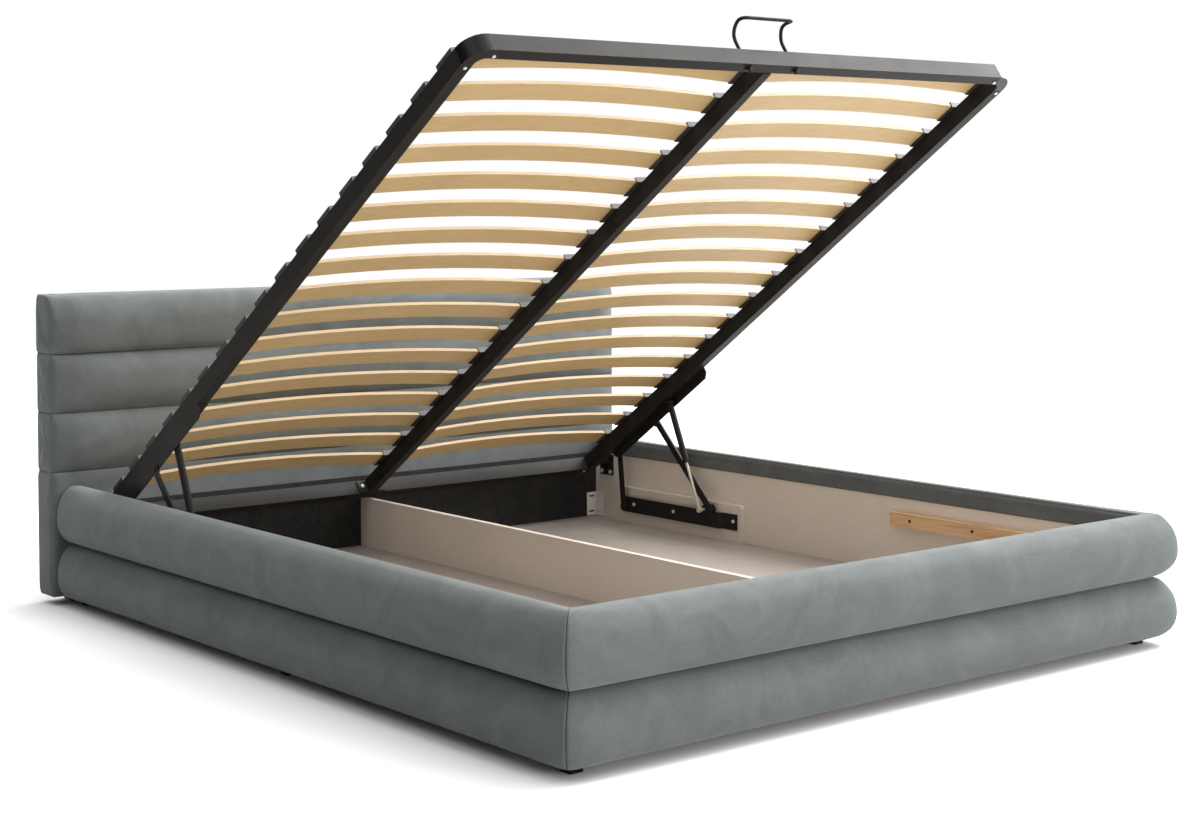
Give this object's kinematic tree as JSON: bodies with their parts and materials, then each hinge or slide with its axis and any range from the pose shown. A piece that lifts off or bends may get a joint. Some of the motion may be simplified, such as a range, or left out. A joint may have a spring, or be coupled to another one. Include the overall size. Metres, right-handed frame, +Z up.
{
  "type": "storage bed",
  "caption": "Upholstered storage bed with a channelled headboard, padded two-tier base, divided storage box and a slatted platform that lifts at the foot on side linkages.",
  "frame": {"origin": "on the floor at the centre of the footprint", "axes": "+Z up, -Y toward the foot of the bed, +Y toward the headboard, +X to the right seen from the foot; stored with the platform up as pictured"},
  "size_m": [1.8634, 2.179, 1.4347],
  "materials": {
    "cover_cloth": "woven grey-green cover cloth, matt",
    "box_board": "beige laminated board, matt",
    "raw_board": "plain board under the padding",
    "pine": "planed pine, oiled",
    "slat_wood": "laminated birch, clear lacquer",
    "frame_steel": "black powder coat, satin",
    "bright_steel": "bright zinc plate",
    "rod_steel": "polished",
    "black_plastic": "moulded black plastic",
    "lining": "dark felt lining, matt"
  },
  "bodies": {
    "bed_box": {"base_plate_left": "frame_steel", "base_plate_right": "frame_steel", "bolster_lower_foot": "cover_cloth", "bolster_lower_left": "cover_cloth", "bolster_lower_right": "cover_cloth", "bolster_upper_foot": "cover_cloth", "bolster_upper_left": "cover_cloth", "bolster_upper_right": "cover_cloth", "corner_brackets": "bright_steel", "divider_board": "box_board", "feet": "black_plastic", "floor_battens": "raw_board", "floor_panel_left": "box_board", "floor_panel_right": "box_board", "foot_board": "box_board", "headboard_back_cloth": "lining", "headboard_channel_low": "cover_cloth", "headboard_channel_middle": "cover_cloth", "headboard_channel_top": "cover_cloth", "headboard_core": "raw_board", "headboard_lower_panel": "cover_cloth", "hinge_bracket_left": "frame_steel", "hinge_bracket_right": "frame_steel", "hinge_pins": "bright_steel", "inner_cloth_band": "cover_cloth", "ledge_screws": "bright_steel", "lift_bolts": "bright_steel", "platform_ledges": "pine", "rear_lining_panel": "lining", "reinforcing_plate_left": "box_board", "reinforcing_plate_right": "box_board", "side_board_left": "box_board", "side_board_right": "box_board"},
    "platform": {"side_tube_left": "frame_steel", "side_tube_right": "frame_steel", "head_tube": "frame_steel", "foot_tube": "frame_steel", "centre_bar": "frame_steel", "centre_bar_flanges": "frame_steel", "foot_corner_caps": "black_plastic", "head_corner_caps": "black_plastic", "frame_bolts": "bright_steel", "slats_left": "slat_wood", "slats_right": "slat_wood", "slat_holders_left": "black_plastic", "slat_holders_right": "black_plastic", "slat_holders_centre": "black_plastic", "lift_handle": "frame_steel", "handle_fixings": "bright_steel"},
    "front_arm_left": {"front_arm_left": "frame_steel"},
    "front_arm_right": {"front_arm_right": "frame_steel"},
    "lift_rail_left": {"lift_rail_left": "frame_steel"},
    "lift_rail_right": {"lift_rail_right": "frame_steel"},
    "rear_arm_left": {"rear_arm_left": "frame_steel"},
    "rear_arm_right": {"rear_arm_right": "frame_steel"},
    "strut_cylinder_left": {"strut_cylinder_left": "frame_steel"},
    "strut_cylinder_right": {"strut_cylinder_right": "frame_steel"},
    "strut_rod_left": {"strut_rod_left": "rod_steel"},
    "strut_rod_right": {"strut_rod_right": "rod_steel"}
  },
  "joints": [
    {"name": "platform_lift", "type": "hinge", "parent": "bed_box", "child": "platform", "pos_m": [0, 0.9338, 0.232], "axis": [1, 0, 0], "range_deg": [0, 34.8]},
    {"name": "rail_slide_left", "type": "slide", "parent": "platform", "child": "lift_rail_left", "axis": [0, 0.8211, -0.5707], "range_m": [0, 0.1241]},
    {"name": "rear_arm_turn_left", "type": "hinge", "parent": "lift_rail_left", "child": "rear_arm_left", "pos_m": [-0.81, 0.83231, 0.27696], "axis": [1, 0, 0], "range_deg": [-81.2, 0]},
    {"name": "front_arm_turn_left", "type": "hinge", "parent": "lift_rail_left", "child": "front_arm_left", "pos_m": [-0.81, 0.65945, 0.37518], "axis": [1, 0, 0], "range_deg": [-71.5, 0]},
    {"name": "strut_turn_left", "type": "hinge", "parent": "lift_rail_left", "child": "strut_cylinder_left", "pos_m": [-0.81, 0.58311, 0.44407], "axis": [1, 0, 0], "range_deg": [-80.9, 0]},
    {"name": "strut_slide_left", "type": "slide", "parent": "strut_cylinder_left", "child": "strut_rod_left", "axis": [0, 0.3999, 0.9166], "range_m": [0, 0.1118]},
    {"name": "rail_slide_right", "type": "slide", "parent": "platform", "child": "lift_rail_right", "axis": [0, 0.8211, -0.5707], "range_m": [0, 0.1241]},
    {"name": "rear_arm_turn_right", "type": "hinge", "parent": "lift_rail_right", "child": "rear_arm_right", "pos_m": [0.81, 0.83231, 0.27696], "axis": [1, 0, 0], "range_deg": [-81.2, 0]},
    {"name": "front_arm_turn_right", "type": "hinge", "parent": "lift_rail_right", "child": "front_arm_right", "pos_m": [0.81, 0.65945, 0.37518], "axis": [1, 0, 0], "range_deg": [-71.5, 0]},
    {"name": "strut_turn_right", "type": "hinge", "parent": "lift_rail_right", "child": "strut_cylinder_right", "pos_m": [0.81, 0.58311, 0.44407], "axis": [1, 0, 0], "range_deg": [-80.9, 0]},
    {"name": "strut_slide_right", "type": "slide", "parent": "strut_cylinder_right", "child": "strut_rod_right", "axis": [0, 0.3999, 0.9166], "range_m": [0, 0.1118]}
  ],
  "couplings": [
    {"joint": "rail_slide_left", "follows": "platform_lift", "m_per_rad": 0.20416},
    {"joint": "rear_arm_turn_left", "follows": "platform_lift", "ratio": -2.3326},
    {"joint": "front_arm_turn_left", "follows": "platform_lift", "ratio": -2.0518},
    {"joint": "strut_turn_left", "follows": "platform_lift", "ratio": -2.3233},
    {"joint": "strut_slide_left", "follows": "platform_lift", "m_per_rad": 0.18391},
    {"joint": "rail_slide_right", "follows": "platform_lift", "m_per_rad": 0.20416},
    {"joint": "rear_arm_turn_right", "follows": "platform_lift", "ratio": -2.3326},
    {"joint": "front_arm_turn_right", "follows": "platform_lift", "ratio": -2.0518},
    {"joint": "strut_turn_right", "follows": "platform_lift", "ratio": -2.3233},
    {"joint": "strut_slide_right", "follows": "platform_lift", "m_per_rad": 0.18391}
  ]
}
